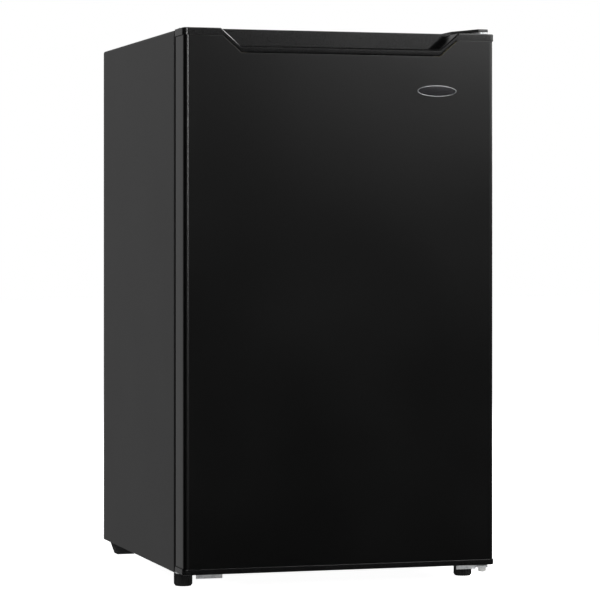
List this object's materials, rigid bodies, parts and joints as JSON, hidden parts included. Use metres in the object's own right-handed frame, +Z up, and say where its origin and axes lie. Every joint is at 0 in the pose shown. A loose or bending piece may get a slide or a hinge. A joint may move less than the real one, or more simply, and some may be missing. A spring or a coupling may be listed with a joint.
{
  "type": "mini fridge",
  "caption": "Black compact refrigerator with one right-hinged door, a scooped handle recess in the door's top, glass shelves, a crisper and door racks inside.",
  "frame": {"origin": "on the floor under the middle of the whole object, feet at Z = 0", "axes": "+X to the right seen from the front, -Y out of the door's front, +Z up"},
  "size_m": [0.488, 0.54, 0.8375],
  "materials": {
    "painted_steel": "satin",
    "black_plastic": "satin",
    "white_plastic": "satin",
    "clear_plastic": "gloss",
    "shelf_glass": "gloss",
    "insulation": "matte",
    "galvanised_steel": "satin",
    "zinc_steel": "satin",
    "copper": "satin",
    "aluminium": "satin",
    "rubber": "matte",
    "gasket": "matte",
    "compressor_paint": "satin",
    "badge_metal": "satin"
  },
  "bodies": {
    "cabinet": {"cabinet_wrap": "painted_steel", "back_panel": "painted_steel", "base_panel": "painted_steel", "cabinet_foam": "insulation", "inner_liner": "white_plastic", "evaporator_plate": "aluminium", "condenser_coil": "copper", "drain_tube": "white_plastic", "back_screw_upper_left": "zinc_steel", "back_screw_upper_right": "zinc_steel", "back_screw_lower_left": "zinc_steel", "back_screw_lower_right": "zinc_steel", "crisper_cover_glass": "shelf_glass", "crisper_cover_trim": "white_plastic", "thermostat_housing": "white_plastic", "thermostat_switch": "zinc_steel", "top_hinge_bracket": "galvanised_steel", "top_hinge_pin": "zinc_steel", "top_hinge_cover": "black_plastic", "top_hinge_screw_front": "zinc_steel", "top_hinge_screw_rear": "zinc_steel", "bottom_hinge_bracket": "galvanised_steel", "bottom_hinge_pin": "zinc_steel", "bottom_hinge_nut": "zinc_steel", "front_left_bracket": "galvanised_steel", "rear_left_foot": "rubber", "rear_right_foot": "rubber", "compressor_mount_plate": "galvanised_steel", "compressor": "compressor_paint", "compressor_grommet_front_left": "rubber", "compressor_grommet_front_right": "rubber", "compressor_grommet_rear_left": "rubber", "compressor_grommet_rear_right": "rubber", "relay_cover": "black_plastic", "cord_gland": "rubber", "drip_tray": "black_plastic", "filter_drier": "copper", "suction_tube": "copper", "discharge_tube": "copper"},
    "door": {"door_skin": "painted_steel", "door_top_cap": "black_plastic", "door_bottom_cap": "black_plastic", "door_foam": "insulation", "door_liner": "white_plastic", "door_gasket": "gasket", "lower_door_rack": "clear_plastic", "middle_door_rack": "clear_plastic", "upper_door_rack": "clear_plastic", "door_badge": "badge_metal", "top_hinge_bush": "white_plastic", "bottom_hinge_bush": "white_plastic"},
    "upper_shelf": {"upper_shelf_glass": "shelf_glass", "upper_shelf_trim": "white_plastic"},
    "middle_shelf": {"middle_shelf_glass": "shelf_glass", "middle_shelf_trim": "white_plastic"},
    "crisper_drawer": {"crisper_drawer": "clear_plastic"},
    "thermostat_knob": {"thermostat_knob": "white_plastic"},
    "front_left_foot": {"front_left_foot": "rubber"},
    "front_right_foot": {"front_right_foot": "rubber"}
  },
  "joints": [
    {"name": "door_swing", "type": "hinge", "parent": "cabinet", "child": "door", "pos_m": [0.2285, -0.254, 0.4265], "axis": [0, 0, 1], "range_deg": [0, 130]},
    {"name": "upper_shelf_slide", "type": "slide", "parent": "cabinet", "child": "upper_shelf", "axis": [0, -1, 0], "range_m": [0, 0.025]},
    {"name": "middle_shelf_slide", "type": "slide", "parent": "cabinet", "child": "middle_shelf", "axis": [0, -1, 0], "range_m": [0, 0.025]},
    {"name": "crisper_slide", "type": "slide", "parent": "cabinet", "child": "crisper_drawer", "axis": [0, -1, 0], "range_m": [0, 0.025]},
    {"name": "thermostat_turn", "type": "hinge", "parent": "cabinet", "child": "thermostat_knob", "pos_m": [0.1687, 0, 0.74], "axis": [-1, 0, 0], "range_deg": [0, 270]},
    {"name": "front_left_foot_turn", "type": "hinge", "parent": "cabinet", "child": "front_left_foot", "pos_m": [-0.2225, -0.1845, 0.01], "axis": [0, 0, 1], "continuous": true},
    {"name": "front_right_foot_turn", "type": "hinge", "parent": "cabinet", "child": "front_right_foot", "pos_m": [0.2225, -0.1845, 0.01], "axis": [0, 0, 1], "continuous": true}
  ]
}
